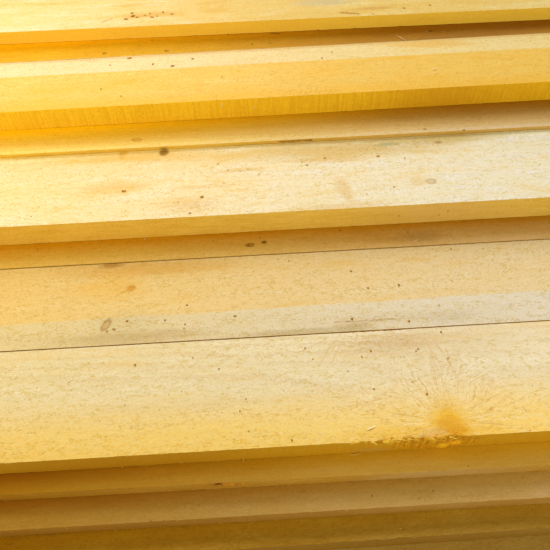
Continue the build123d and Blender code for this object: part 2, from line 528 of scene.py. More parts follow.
class Scratch(Mark):
    """A thin line between two pixels."""

    def __init__(self, pixel, end, width, colour, strength=0.6, on_edge=False):
        super().__init__(pixel, width, width, 0.0, on_edge)
        self.last, self.colour, self.strength = end, linear(*colour), strength

    def place(self, grain, view):
        find, second, self.mask = self.side(grain, view)
        (u, v), (end_u, end_v) = find(grain.plank, self.pixel), find(grain.plank, self.last)
        run_u, run_v = end_u - u, end_v - v
        square = run_u * run_u + run_v * run_v
        wiggle = grain.fine_wander * (1.2 * MM)
        du, dv = grain.along - u + wiggle, second - v + wiggle
        share = (du * (run_u / square) + dv * (run_v / square)).clamped()
        self.reach = hypotenuse(du - share * run_u, dv - share * run_v) * (2.0 / self.width)

    def paint(self, grain, colour):
        n = grain.nodes
        broken = (0.6 + grain.dash * 3.0 + grain.fibre * 2.0).clamped()
        return n.mix(n.step(self.reach, 1.4, 0.4) * broken * self.strength * self.mask, colour, self.colour)


class Band(Mark):
    """A band along the board between two lines through pixels of the picture, either of which may be left out."""

    def __init__(self, near, far, soft=1.5, wave=3.0, tilt=0.0):
        self.near, self.far, self.soft, self.wave, self.tilt = near, far, soft * MM, wave * MM, tilt

    def place(self, grain, view):
        n = grain.nodes
        front = view.on_face(grain.plank, self.near)[1] if self.near else -1.0
        back = view.on_face(grain.plank, self.far)[1] if self.far else 1.0
        waves = grain.wander * self.wave + grain.fine_wander * (self.wave * 0.35)
        line = grain.across + waves - grain.along * self.tilt
        inside = n.step(line, front - self.soft, front + self.soft)
        self.inside = inside * n.step(line, back + self.soft, back - self.soft) * grain.top


class Strip(Band):
    """A band of another colour."""

    def __init__(self, near, far, colour, strength=0.8, soft=1.5, wave=3.0, tilt=0.0):
        super().__init__(near, far, soft, wave, tilt)
        self.colour, self.strength = linear(*colour), strength

    def paint(self, grain, colour):
        speckled = self.inside * (1.0 + grain.dash * 1.2) * self.strength
        return grain.nodes.mix(speckled, colour, self.colour)


class Torn(Band):
    """A band in which the saw tore the grain."""

    def __init__(self, near, far, strength=0.5, soft=6.0, wave=10.0):
        super().__init__(near, far, soft, wave)
        self.strength = strength

    def bend(self, grain, rings):
        grain.torn = grain.torn + self.inside * self.strength
        return rings


class PaintedLightSweep(Mark):
    """Painted light and shade: a slow change of tint from the left of the picture to its right, on faces and edges
    alike, following how the light on the boards grows or fades across the picture.
    """

    on_edge = True

    def __init__(self, left, right, until=0.3, edges=True):
        self.left, self.right, self.until, self.edges = left, right, until, edges

    def place(self, grain, view):
        self.share = grain.nodes.step(grain.along + grain.broad * 0.1, -0.3, self.until)
        self.mask = 1.0 if self.edges else 1.0 - grain.edge

    def paint(self, grain, colour):
        n = grain.nodes
        return n.mix(self.mask, colour, n.mix(self.share, self.left, self.right), "MULTIPLY")


def scattered_knots(grain, rings, chance, window):
    """Knots at random along the rest of a board, away from the close view: the bent rings and a painter."""
    n, c = grain.nodes, bpy.context.scene.board_colours
    per_metre, radius = 4.4, 8.0 * MM
    flat = n.join(grain.along * per_metre, grain.across * per_metre + chance.uniform(0.0, 30.0), 0.0)
    distance = n.add("ShaderNodeTexVoronoi", {"voronoi_dimensions": "2D"}, {"Vector": flat, "Scale": 1.0})
    pick = n.add("ShaderNodeSeparateColor", inputs={0: n.outputs(distance, "Color")[0]})
    chosen = n.step(pick, 0.35, 0.4) * n.step(abs(grain.along), window, window + 0.02)
    reach = distance * (1.0 / (per_metre * radius)) + grain.fine_wander * 0.5
    hill = (reach * reach * -0.12).math("EXPONENT") * 2.2 * chosen
    heart = n.step(reach, 1.0, 0.75) * chosen * 0.6
    rim = n.step(reach, 0.7, 0.95) * n.step(reach, 1.3, 1.0) * chosen * 0.5
    return rings + hill, lambda colour: n.mix(rim, n.mix(heart, colour, tuple(c.knot)), tuple(c.bark))


def painted_step_shade(grain, plank, look, colour):
    """Painted shade just in front of the layer above. There the colour is multiplied by the look's foot, a darker and
    more golden tint where that layer's shadow falls, fading out over its reach. Where the tint is above 1, it is
    painted light that lifts the darkest shade at the step.
    """
    n = grain.nodes
    if plank.layer == layer_count or look.foot is None:
        return colour
    above = planks[plank.layer + 1, 1]
    (u, v), (end_u, end_v) = plank.local(*above.left_front), plank.local(*above.right_front)
    slope = (end_v - v) / (end_u - u)
    past = grain.across - grain.along * slope - (v - u * slope) + grain.wander * (8.0 * MM)
    near = n.step(past, -look.step_shade_reach, 0.0) * grain.top
    return n.mix(near, colour, n.mix(n.step(grain.along, -0.3, 0.3), *look.foot), "MULTIPLY")


def growth_rings(grain, chance, ring_width):
    """How many years' growth lie between the board's own pith and each point."""
    plank = grain.plank
    pith_across = chance.uniform(-0.3, 1.3) * plank.width
    pith_up = plank.thickness / 2.0 + chance.choice((-1, 1)) * chance.uniform(30.0, 110.0) * MM
    drift, dip = chance.uniform(-0.02, 0.02), chance.uniform(-0.012, 0.012)
    sway = grain.broad * (14.0 * MM)
    from_pith = grain.across - pith_across - grain.along * drift + sway
    above_pith = grain.up - pith_up + grain.along * dip + sway * 0.5
    radius = hypotenuse(from_pith, above_pith)
    return radius * (1.0 / ring_width) + grain.wander * 1.2 + grain.fine_wander * 0.5


def wood(plank, look, view, window):
    """The wood of one board: growth rings about its own pith, fibres, saw marks, torn grain, knots and stains."""
    sizes, colours = bpy.context.scene.board_sizes, bpy.context.scene.board_colours
    material, n, shader = new_material(f"wood_{plank.node}")
    chance = random.Random(f"{plank.node} {sizes.seed}")
    grain = Grain(n, plank, chance)
    for mark in look.marks:
        mark.place(grain, view)

    rings, paint_knots = scattered_knots(grain, growth_rings(grain, chance, sizes.ring_width), chance, window)
    for mark in look.marks:
        rings = mark.bend(grain, rings)
    year = rings.math("FRACT")
    late = n.step(year, 0.3, 0.88) * n.step(year, 1.0, 0.9)

    slant = chance.uniform(0.25, 0.6) * chance.choice((-1, 1))
    beat = (grain.along + grain.across * slant + grain.wander * (3.0 * MM)) * (2.0 * math.pi / sizes.saw_pitch)
    saw = beat.math("SINE") * n.step(grain.clouds + grain.broad, -0.05, 0.2)
    tear = n.step(grain.dash + grain.fibre * 0.4 + grain.clouds * 0.35, 0.09, 0.2) * (grain.torn + look.tear)
    pits = n.step(grain.dots + grain.clouds * 0.3, 0.13, 0.22) * look.pits
    curls = n.step(abs(grain.curl), 0.05, 0.01) * n.step(grain.curl_gaps + grain.clouds * 0.8, -0.06, 0.12)
    curls = curls * grain.top * look.curls

    tone = chance.uniform(0.96, 1.03)
    usual = (tuple(part * tone for part in one) for one in (colours.face, colours.pale, colours.gold, colours.edge))
    face, pale, gold, edge = (own or other for own, other in zip(look.colours, usual))
    mottle = grain.clouds + grain.fibre * 0.25 + grain.dash * 0.3
    colour = n.mix(n.step(mottle, 0.0, 0.2) * 0.75, face, pale)
    colour = n.mix(n.step(mottle, -0.02, -0.2) * 0.75, colour, gold)
    rings_shown = late * look.rings * (0.5 + grain.broad * 2.0).clamped()
    colour = n.mix(rings_shown, colour, tuple(colours.late_wood), "MULTIPLY")
    for mark in look.marks:
        if not mark.on_edge:
            colour = mark.paint(grain, colour)
    colour = painted_step_shade(grain, plank, look, colour)
    # The edges take the look's edge colour, which is partly the sawn edges' own gold and partly painted shade: the
    # front edges face away from the key light, and their deeper, darker gold is painted in.
    streak = (grain.clouds * 0.5 + grain.thread) * (1.0 - look.upright) + grain.upright * look.upright
    colour = n.mix(grain.edge, colour, n.tint(edge, n.step(streak, -0.16, 0.16) * look.streaks, streak_channels))
    for mark in look.marks:
        if mark.on_edge:
            colour = mark.paint(grain, colour)
    colour = n.mix(grain.end, colour, n.mix(late * 0.6, tuple(colours.end_grain), tuple(colours.late_wood)))
    colour = paint_knots(colour)
    for amount, tint in ((tear * 0.7, torn_tint), (pits * 0.8, pit_tint), (curls, curl_tint)):
        colour = n.mix(amount, colour, tint, "MULTIPLY")
    fine = grain.fibre * 0.26 + grain.dash * 0.2 + grain.fuzz * 0.2 + grain.thread * 0.16
    colour = n.tint(colour, fine * look.rough + saw * (0.03 * look.saw), fine_channels)

    height = (grain.fibre * 0.18 + grain.dash * 0.14 + grain.fuzz * 0.1) * look.rough - tear * 0.1 - pits * 0.15
    height = height - curls * 0.08 + saw * (0.015 * look.saw) + late * (0.06 * look.rings)
    bump = n.add("ShaderNodeBump", inputs={"Strength": 1.0, "Distance": 1.0 * MM, "Height": height})
    rough = grain.fuzz.math("MULTIPLY_ADD", 0.2, 0.82, clamp=True)
    for wire, name in ((colour, "Base Color"), (rough, "Roughness"), (bump, "Normal")):
        n.tree.links.new(wire.socket, shader.inputs[name])
    shader.inputs["Specular IOR Level"].default_value = 0.25
    return material


brown, umber, ochre = (178, 128, 50), (122, 86, 30), (228, 186, 98)
gold, tan, grey_green = (240, 194, 90), (214, 172, 100), (186, 178, 118)

# The boards that the picture shows differ in tone and in their marks, which are painted in this order. Every sweep is
# painted light and shade, and each foot is painted shade in front of the layer above; other painted light and shade is
# noted at its mark.
looks = {
    (8, 1): Look(
        ((245, 217, 130), (250, 240, 184), (237, 197, 88), (252, 211, 92)),
        Patch((326, 2), 70, 16, (216, 207, 172), 0.7), Patch((130, 5), 46, 6, gold, 0.7),
        Patch((374, 8), 34, 6, ochre, 0.9), Patch((138, 16), 30, 7, (206, 160, 60), 0.6, 0.9),
        Patch((160, 14), 30, 6, (206, 160, 60), 0.5, 0.9, lean=0.1), Patch((152, 15), 70, 12, gold, 0.5),
        Scratch((341, 12.5), (358, 13.5), 4.6, brown, 1.0), Scratch((102, 22), (112, 18), 3.0, brown, 0.7),
        PaintedLightSweep((1.01, 1.06, 1.85), (0.87, 0.81, 0.8), 0.1, edges=False),
        rings=0.05, saw=0.2, tear=0.4, pits=0.5, upright=0.3, streaks=0.4, curls=0.4,
    ),
    (7, 1): Look(
        ((244, 204, 94), (248, 218, 122), (242, 192, 66), (254, 208, 42)),
        Strip((275, 62.5), None, (243, 224, 160), 0.9, 0.8, 2.5),
        # Painted shade: the tan band at the back of this board is the soft edge of the shadow of layer 8.
        Strip((275, 50), None, (226, 188, 108), 0.6, 2.0, 2.5), Patch((430, 44), 90, 12, gold, 0.7, lean=-0.06),
        Torn((275, 98), (275, 80), 0.6), Strip((275, 110), (275, 90), (244, 194, 62), 0.85, 16.0, 6.0),
        # Painted shade: the right end of the front edge is darker.
        Patch((440, 98), 110, 60, (214, 150, 24), 0.5, 0.9, on_edge=True),
        PaintedLightSweep((0.99, 1.02, 1.6), (0.95, 0.9, 0.95)),
        rings=0.03, saw=1.2, curls=0.7, tear=0.35, pits=0.3, upright=0.9, streaks=0.7, rough=1.2,
    ),
    (7, 2): Look(
        # This board lies in the shadow of layer 8. Its darker gold colours are partly its own tone and partly painted
        # shade. The pale band at its front, by the seam, is painted light: the soft edge of that shadow.
        ((226, 172, 36), (234, 190, 56), (214, 154, 24)),
        Strip(None, (275, 48), (238, 216, 156), 0.9, 4.0, 2.0), Patch((440, 38), 100, 14, (220, 170, 62), 0.8, 0.9),
        Scratch((271, 33), (279, 33.5), 3.0, umber, 0.9), Scratch((427, 31), (431, 31), 4.5, umber, 0.9),
        PaintedLightSweep((0.94, 0.94, 1.0), (0.7, 0.66, 0.9)),
        rings=0.1, saw=0.2, tear=0.4, pits=0.6, foot=((1.35, 1.4, 0.02), (0.64, 0.46, 0.04)), step_shade_reach=62.0,
    ),
    (6, 2): Look(
        ((236, 202, 120), (242, 214, 146), (228, 186, 94), (243, 207, 116)),
        # Painted highlight: the pale bands along this raised board's front arris. Painted light: the pale patch behind
        # them, in the shadow of layer 7.
        Strip(None, (275, 134), (246, 222, 150), 0.6, 4.0, 4.0),
        Strip(None, (275, 137.2), (255, 240, 190), 0.35, 0.5, 1.0),
        Patch((290, 124), 180, 20, (250, 218, 146), 0.7, 0.9),
        Knot((137, 139.5), 10, 5, -0.1, 0.5, 0.7, (222, 160, 40), pull=0.6),
        Scratch((279, 142), (312, 140), 2.6, umber, 1.0, on_edge=True),
        Patch((164, 150), 9, 6, (150, 118, 40), 0.9, on_edge=True), PaintedLightSweep((1.03, 1.0, 0.7), (0.83, 0.77, 1.04)),
        rings=0.15, saw=0.2, tear=0.4, pits=0.5, foot=((1.12, 1.06, 0.02), (0.6, 0.4, 0.02)), step_shade_reach=34.0,
    ),
    (6, 1): Look(
        ((245, 228, 180), (249, 243, 222), (240, 209, 132), (249, 209, 102)),
        # Painted light: the pale band at the back of this board, at the foot of the raised board 2. Painted shade: the
        # two tan patches after it, which are the soft shadow of that board towards the right.
        Strip((275, 149), None, (252, 240, 190), 0.5, 1.5, 3.0),
        Patch((345, 149), 180, 24, (226, 192, 112), 0.9, 0.8), Patch((435, 139), 120, 13, (216, 184, 100), 0.8, 0.8),
        Patch((435, 210), 130, 60, (236, 188, 106), 0.6, 0.9, on_edge=True),
        Patch((130, 157), 110, 12, (242, 200, 96), 0.7, 0.8), Patch((190, 156), 140, 16, (240, 206, 124), 0.6, 0.9),
        Knot((164, 152.3), 10, 9, 0.2, 0.6, 0.95, (154, 114, 20), pull=0.6),
        Patch((123, 153), 8, 14, (232, 186, 84), 0.7, lean=-0.3),
        Knot((431, 181), 10, 7, 0.0, 0.5, 0.6, (214, 176, 108), pull=0.8), Patch((418, 181), 14, 12, ochre, 0.4),
        Patch((388, 144), 26, 7, grey_green, 0.7), Patch((438, 142), 8, 4, brown, 0.8),
        Patch((110, 188), 60, 20, ochre, 0.3), Patch((190, 205), 60, 22, ochre, 0.4),
        Patch((345, 190), 14, 34, ochre, 0.5, lean=0.3), Patch((340, 206), 90, 8, ochre, 0.4),
        Patch((335, 160), 60, 10, ochre, 0.4), Torn((275, 176), (275, 152), 0.35, 6.0, 8.0),
        Patch((240, 170), 44, 6, ochre, 0.5), Patch((120, 187), 60, 6, ochre, 0.3),
        Patch((196, 187), 60, 5, ochre, 0.4), Patch((305, 160), 50, 5, ochre, 0.4),
        PaintedLightSweep((0.96, 0.94, 1.02), (0.97, 1.02, 1.43)),
        rings=0.05, saw=0.2, tear=0.45, pits=0.8, upright=0.1, streaks=0.8, rough=1.2, curls=0.85,
    ),
    (5, 3): Look(
        ((238, 200, 122), (242, 214, 150), (228, 180, 88)),
        Patch((420, 236), 40, 16, brown, 0.35), Patch((250, 245), 8, 5, umber, 0.8),
        Patch((264, 242), 6, 4, umber, 0.7), PaintedLightSweep((0.89, 0.9, 0.72), (0.92, 0.87, 1.2)),
        rings=0.06, saw=0.2, tear=0.45, pits=0.9, foot=((0.74, 0.52, 0.005), (0.68, 0.48, 0.02)), step_shade_reach=24.0,
    ),
    (5, 2): Look(
        ((239, 210, 150), (242, 220, 172), (236, 196, 114)),
        Strip(None, (275, 308), (232, 217, 184), 0.85, 1.2, 6.0, 0.01),
        Patch((395, 318), 150, 12, (206, 180, 128), 0.2, 0.9), Patch((132, 337), 130, 12, (198, 170, 116), 0.6, 0.8),
        Patch((150, 268), 130, 16, (224, 172, 78), 0.6, 0.9), Patch((300, 332), 110, 7, (192, 166, 106), 0.6, 0.7),
        Patch((450, 317), 40, 12, (196, 176, 132), 0.25, 0.9), Torn((275, 345), (275, 312), 0.6, 3.0, 6.0),
        Patch((112, 288), 60, 30, gold, 0.4), Patch((112, 265), 22, 7, brown, 0.7),
        Patch((124, 321), 60, 22, (206, 190, 150), 0.3),
        Knot((131, 288), 9, 8, 0.3, 0.1, 0.8, (216, 158, 52), pull=0.5),
        Scratch((117, 295), (129, 289), 3.0, (224, 170, 66), 0.9),
        Knot((106, 325), 13, 6.5, 1.07, 0.6, 0.6, (204, 166, 92), pull=0.6),
        Scratch((335, 322), (396, 319), 2.0, brown, 0.6), Patch((355, 326), 30, 8, (190, 164, 104), 0.5),
        PaintedLightSweep((0.87, 0.84, 0.74), (0.98, 1.0, 1.26)),
        rings=0.05, curls=0.85, saw=0.3, tear=0.3, pits=0.9,
    ),
    (5, 1): Look(
        ((233, 214, 164), (243, 227, 188), (235, 205, 138), (208, 153, 18)),
        Strip((275, 470), (275, 405), (248, 205, 92), 0.75, 24.0, 8.0),
        Patch((425, 341), 140, 26, (216, 186, 130), 0.4, 0.9),
        Strip((275, 470), (275, 440), (240, 194, 76), 0.5, 10.0, 6.0), Patch((440, 410), 100, 50, gold, 0.15, 0.9),
        Patch((432, 434), 110, 12, (238, 184, 44), 0.7, 0.8), Patch((450, 421), 24, 28, (236, 176, 10), 0.85, 0.9),
        Patch((455, 430), 22, 14, (222, 152, 4), 0.9, 0.8, lean=-0.4),
        Patch((434, 433), 26, 9, (232, 184, 88), 1.0, 0.15, lean=0.1),
        Scratch((420, 434), (433, 428), 1.4, ochre, 0.8), Scratch((433, 428), (449, 434), 1.4, ochre, 0.8),
        Knot((449, 426), 22, 18, 0.2, 0.0, 0.3, (226, 164, 60), pull=3.0), Fan((449, 424), 95, 0.6),
        Patch((385, 342), 70, 16, (204, 166, 110), 0.45, 0.8), Scratch((318, 366), (337, 338), 1.5, tan, 0.6),
        Scratch((332, 362), (343, 338), 1.5, tan, 0.6), Scratch((300, 352), (326, 339), 1.5, tan, 0.6),
        Scratch((424, 338), (441, 366), 1.5, tan, 0.6), Scratch((437, 344), (453, 368), 1.5, tan, 0.6),
        Scratch((397, 418), (424, 404), 1.2, ochre, 0.6), Scratch((424, 404), (446, 408), 1.2, ochre, 0.6),
        Scratch((393, 428), (418, 418), 1.2, ochre, 0.6), Fan((380, 340), 60, 0.3),
        Scratch((453, 405), (430, 350), 1.5, tan, 0.4), Scratch((458, 382), (446, 348), 1.5, tan, 0.4),
        Torn((275, 470), (275, 436), 0.3), Shreds((432, 442), 66, 34, (230, 166, 10), 0.9, 0.6, on_edge=True),
        Shreds((385, 442), 60, 7, (240, 184, 50), 0.8, 0.6, on_edge=True),
        Patch((442, 446), 10, 10, (255, 196, 30), 0.9, on_edge=True),
        Patch((455, 443), 10, 8, (255, 190, 30), 0.8, on_edge=True),
        Patch((372, 450), 26, 10, (190, 146, 66), 0.5, on_edge=True),
        # Painted shade: the left part of the front edge is darker.
        Patch((110, 462), 220, 60, (188, 130, 6), 0.7, 0.9, on_edge=True), PaintedLightSweep((0.93, 0.95, 1.1), (1.1, 1.13, 1.5)),
        rings=0.2, curls=0.85, streaks=0.5, saw=0.3, tear=0.5, pits=0.6, upright=0.6, rough=1.1,
    ),
    # Layers 4 to 2 lie in the shade of the layers above. Their deep gold colours, darker towards layer 2, are painted
    # shade.
    (4, 1): Look(
        ((246, 200, 84), (248, 208, 104), (238, 190, 70), (208, 163, 66)),
        Patch((218, 484), 18, 12, (196, 132, 30), 0.8, 0.6, on_edge=True),
        Knot((218, 484.5), 6, 5, 0.0, 0.9, 0.95, (110, 66, 2), pull=0.8, on_edge=True),
        Shreds((231, 485), 22, 9, (232, 164, 40), 0.8, on_edge=True),
        Patch((440, 474), 110, 40, (204, 168, 104), 0.6, 0.9, on_edge=True),
        PaintedLightSweep((0.69, 0.55, 0.1), (0.98, 0.98, 1.4), 0.1),
        rings=0.06, saw=0.2, tear=0.2, pits=0.2, streaks=1.2, rough=0.8, curls=0.15,
        foot=((0.56, 0.4, 0.01), (0.96, 0.88, 0.2)), step_shade_reach=18.0,
    ),
    (3, 1): Look(
        ((232, 192, 104), (238, 202, 124), (220, 178, 82), (192, 148, 68)),
        PaintedLightSweep((0.73, 0.61, 0.32), (1.02, 1.02, 1.65)),
        rings=0.08, saw=0.3, tear=0.2, pits=0.3, streaks=1.0, rough=0.9, curls=0.25,
        foot=((0.68, 0.48, 0.09), (0.86, 0.84, 0.6)), step_shade_reach=18.0,
    ),
    (2, 1): Look(
        ((210, 162, 50), (224, 184, 84), (186, 138, 34), (176, 134, 42)),
        PaintedLightSweep((0.74, 0.63, 0.1), (0.82, 0.82, 1.3)),
        rings=0.08, saw=0.2, tear=0.4, pits=0.4, streaks=1.0, rough=1.0, curls=0.6,
        foot=((1.05, 1.05, 0.2), (1.15, 1.15, 0.8)), step_shade_reach=16.0,
    ),
    (1, 1): Look(
        ((206, 168, 90), (218, 186, 118), (188, 144, 62), (176, 140, 66)),
        rings=0.15,
    ),
}


def soft_noise(u, v, cell_u, cell_v, seed):
    """Smooth random heights from -1 to 1 over a plan, with bumps about as large as the cell."""
    low_u, low_v = float(u.min()), float(v.min())
    cols = int((u.max() - low_u) / cell_u) + 3
    rows = int((v.max() - low_v) / cell_v) + 3
    grid = np.random.RandomState(seed).uniform(-1.0, 1.0, (cols, rows))
    x, y = (u - low_u) / cell_u, (v - low_v) / cell_v
    i, j = x.astype(int), y.astype(int)
    fx, fy = x - i, y - j
    fx, fy = fx * fx * (3.0 - 2.0 * fx), fy * fy * (3.0 - 2.0 * fy)
    near = grid[i, j] * (1.0 - fx) + grid[i + 1, j] * fx
    far = grid[i, j + 1] * (1.0 - fx) + grid[i + 1, j + 1] * fx
    return near * (1.0 - fy) + far * fy


def stations(plank, view, sizes):
    """Shares of a board's length at which its mesh has a row, close together where the view is close."""
    spots = [plank.local(*view.meet((side, view.middle), plank.top)[:2])[0] for side in (0.0, 2.0 * view.middle)]
    margin, beyond, half = 60.0 * MM, 1.6, plank.length / 2.0
    low, high = max(spots[0] * beyond - margin, -half), min(spots[1] * beyond + margin, half)
    fine = np.linspace(low, high, int((high - low) / sizes.grid) + 1)
    left = np.linspace(-half, low, int((low + half) / sizes.coarse_grid) + 1)[:-1]
    right = np.linspace(high, half, int((half - high) / sizes.coarse_grid) + 2)[1:]
    return (np.concatenate([left, fine, right]) + half) / plank.length


def spread(start, reach, spacing):
    """Even stations over a reach, with both its ends."""
    count = max(int(reach / spacing), 1)
    return [start + reach * k / count for k in range(count + 1)]


def section(plank, depth, sizes, close):
    """The corners of a board's section, as (share of its width, height), from its front foot round to its back foot."""
    grid = sizes.grid if close else sizes.coarse_grid / 2.0
    arris = [0.0, 0.25 * MM, 0.7 * MM, 1.4 * MM, 2.4 * MM] if close else [0.0, 1.0 * MM]
    last, width, thick = arris[-1], plank.width, plank.thickness
    face = arris[:-1] + spread(last, thick - 2.0 * last, grid) + [thick - a for a in arris[-2::-1]]
    seen = min(depth + 12.0 * MM, width - last)
    tops = arris[1:-1] + spread(last, seen - last, grid) + spread(seen, width - last - seen, 9.0 * MM)[1:]
    tops += [width - a for a in arris[-2::-1]]
    points = [(0.0, z) for z in face] + [(v / width, thick) for v in tops if v > 0.0]
    points += [(1.0, z) for z in (thick * 0.66, thick * 0.33, 0.0)]
    points += [(v, 0.0) for v in (0.75, 0.5, 0.25)]
    return np.array(points)


# Where the saw broke an arris: the board, the arris, the two pixels that it lies between, and how deep in millimetres
torn_arrises = (
    ("layer_5_board_1", "front", (355, 450), (458, 436), 1.8),
    ("layer_5_board_1", "back", (335, 334), (412, 330), 0.5),
    ("layer_5_board_2", "front", (335, 334), (412, 330), 0.3),
    ("layer_2_board_1", "front", (330, 546), (420, 540), 0.8),
)


# How far a dressed board stays inside its solid, what counts as lying on its surface, how far round an arris
# the wear goes, and how far along it a tear runs out
skin = 0.04 * MM
on_surface = 0.001 * MM
worn_reach = 2.6 * MM
tear_fade = 12.0 * MM


def near_corner(a, b):
    """1 at a corner of the section and 0 from where the two distances to it add up to the reach of its wear."""
    return np.clip(1.0 - (a + b) / worn_reach, 0.0, 1.0)


def between(a, b, share):
    return a * (1.0 - share[..., None]) + b * share[..., None]


def board_mesh(plank, view, sizes, close):
    """One board with its sawn relief and its broken arrises, kept within its solid."""
    share = stations(plank, view, sizes) if close else np.linspace(0.0, 1.0, int(plank.length / sizes.coarse_grid))
    loop = section(plank, shown_depth(plank), sizes, close)
    s, t = np.meshgrid(np.clip(share, skin / plank.length, 1.0 - skin / plank.length), loop[:, 0], indexing="ij")
    z = np.broadcast_to(loop[:, 1], s.shape).copy()
    u, v = (s - 0.5) * plank.length, t * plank.width
    seed = sizes.seed + plank.layer * 20 + plank.number
    long_tear = soft_noise(u, v + z, 9.0 * MM, 1.6 * MM, seed)
    short_tear = soft_noise(u, v + z, 3.0 * MM, 2.2 * MM, seed + 1)
    swell = soft_noise(u, v + z, 90.0 * MM, 30.0 * MM, seed + 2)
    depth = sizes.relief * (0.45 + 0.3 * long_tear + 0.25 * short_tear) + 0.25 * MM * (swell + 1.0) * 0.5

    chips = np.clip(soft_noise(u, v * 0.0, 14.0 * MM, 1.0, seed + 3) * 1.6 - 0.5, 0.0, 1.0)
    nibble = 0.5 + 0.5 * soft_noise(u, v * 0.0, 2.6 * MM, 1.0, seed + 4)
    wear = sizes.arris_wear * (0.25 + 0.35 * nibble + 0.9 * chips * nibble)
    torn = {"front": np.zeros_like(u), "back": np.zeros_like(u)}
    for board, side, start, end, deepest in torn_arrises:
        if board == plank.node:
            low, high = (view.on_face(plank, pixel)[0] for pixel in (start, end))
            inside = np.clip(np.minimum(u - low, high - u) / tear_fade, 0.0, 1.0)
            torn[side] += inside * nibble**1.5 * deepest * MM
    front_wear = wear * (1.0 if plank.number == 1 else 0.25) + torn["front"]
    back_wear = wear * 0.2 + torn["back"]

    from_front, from_back, to_top, to_foot = v, plank.width - v, plank.thickness - z, z
    front_top, back_top = near_corner(from_front, to_top), near_corner(from_back, to_top)
    front_foot, back_foot = near_corner(from_front, to_foot), near_corner(from_back, to_foot)
    # A front arris keeps its height, but at layer 7's seam that would show as a ridge
    lip = front_top if plank.number == 1 or plank.layer == 6 else 0.0
    drop = (to_top < on_surface) * (depth * (1.0 - lip) + skin)
    drop += (front_wear * front_top + back_wear * back_top) * 0.8
    lift = (to_foot < on_surface) * skin + wear * (front_foot * 0.5 + back_foot * 0.2)
    inset = (from_front < on_surface) * (depth * (1.0 - front_top - front_foot) + skin)
    inset += front_wear * front_top + wear * front_foot * 0.6
    inset -= (from_back < on_surface) * skin + back_wear * (back_top + back_foot * 0.4)
    z = z - drop + lift
    t = t + inset / plank.width
    front = between(plank.left_front, plank.right_front, s)
    back = between(plank.left_back, plank.right_back, s)
    points = np.concatenate([between(front, back, t), (z + plank.bottom)[..., None]], axis=-1)
    return skin_over(plank.node, points)


def skin_over(name, points):
    """A closed mesh over a row of like rings of points, with a flat face at each end."""
    rows, ring = points.shape[:2]
    index = np.arange(rows * ring).reshape(rows, ring)
    following = np.roll(index, -1, axis=1)
    quads = np.stack([index[:-1], following[:-1], following[1:], index[1:]], axis=-1).reshape(-1, 4)
    faces = quads[:, ::-1].tolist()
    faces += [index[0].tolist(), index[-1][::-1].tolist()]
    mesh = bpy.data.meshes.new(name)
    mesh.from_pydata(points.reshape(-1, 3).tolist(), [], faces)
    mesh.validate()
    mesh.shade_smooth()
    mesh.set_sharp_from_angle(angle=math.radians(42.0))
    return mesh


def put(name, data):
    """A new object in the scene."""
    item = bpy.data.objects.new(name, data)
    bpy.context.scene.collection.objects.link(item)
    return item


def baked(piece, modifier):
    """The plain mesh that a piece has with its modifier, which is then removed."""
    evaluated = piece.evaluated_get(bpy.context.evaluated_depsgraph_get())
    mesh = bpy.data.meshes.new_from_object(evaluated)
    piece.modifiers.remove(modifier)
    return mesh


def clip_to_solid(piece, plank):
    """Cuts the drying checks and the tear of a board's solid into its detailed mesh."""
    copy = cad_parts[plank.node].data.copy()
    cutter = put(f"solid_of_{plank.node}", copy)
    work = bmesh.new()
    work.from_mesh(copy)
    bmesh.ops.remove_doubles(work, verts=work.verts, dist=0.001 * MM)
    work.to_mesh(copy)
    work.free()
    cut = piece.modifiers.new("clip", "BOOLEAN")
    cut.operation, cut.object, cut.solver = "INTERSECT", cutter, "EXACT"
    result = baked(piece, cut)
    if len(result.polygons) < len(piece.data.polygons) // 2:
        raise RuntimeError(f"the cut of {plank.node} lost its mesh")
    piece.data = result
    bpy.data.objects.remove(cutter)


def cover(mesh, material):
    mesh.materials.clear()
    mesh.materials.append(material)


def add_piece(name, mesh, material):
    """Puts a finished mesh in the scene, on the stack's one body."""
    piece = put(name, mesh)
    cover(mesh, material)
    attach(piece, "root")
    return piece


class BOARDS_OT_front(bpy.types.Operator):
    """Lays the boards whose upper faces show, with relief, broken arrises and their own wood"""

    bl_idname = "boards.front"
    bl_label = "Front boards"

    def execute(self, context):
        sizes, view = context.scene.board_sizes, View(context.scene.board_stage)
        for plank in planks.values():
            if shown_depth(plank) <= 0.0:
                continue
            # The picture shows next to nothing of the lowest and the uppermost layer
            close = plank.layer not in (1, layer_count)
            look = looks.get((plank.layer, plank.number), Look())
            material = wood(plank, look, view, close_half_length if close else 0.0)
            mesh = board_mesh(plank, view, sizes, close)
            piece = add_piece(f"sawn_{plank.node}", mesh, material)
            if plank.shaped:
                clip_to_solid(piece, plank)
            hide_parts(plank.node)
        return {"FINISHED"}


class BOARDS_OT_stored(bpy.types.Operator):
    """Gives the boards inside and behind the stack their own wood"""

    bl_idname = "boards.stored"
    bl_label = "Stored boards"

    def execute(self, context):
        view = View(context.scene.board_stage)
        for plank in planks.values():
            if shown_depth(plank) <= 0.0:
                cover(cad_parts[plank.node].data, wood(plank, Look(), view, 0.0))
        return {"FINISHED"}


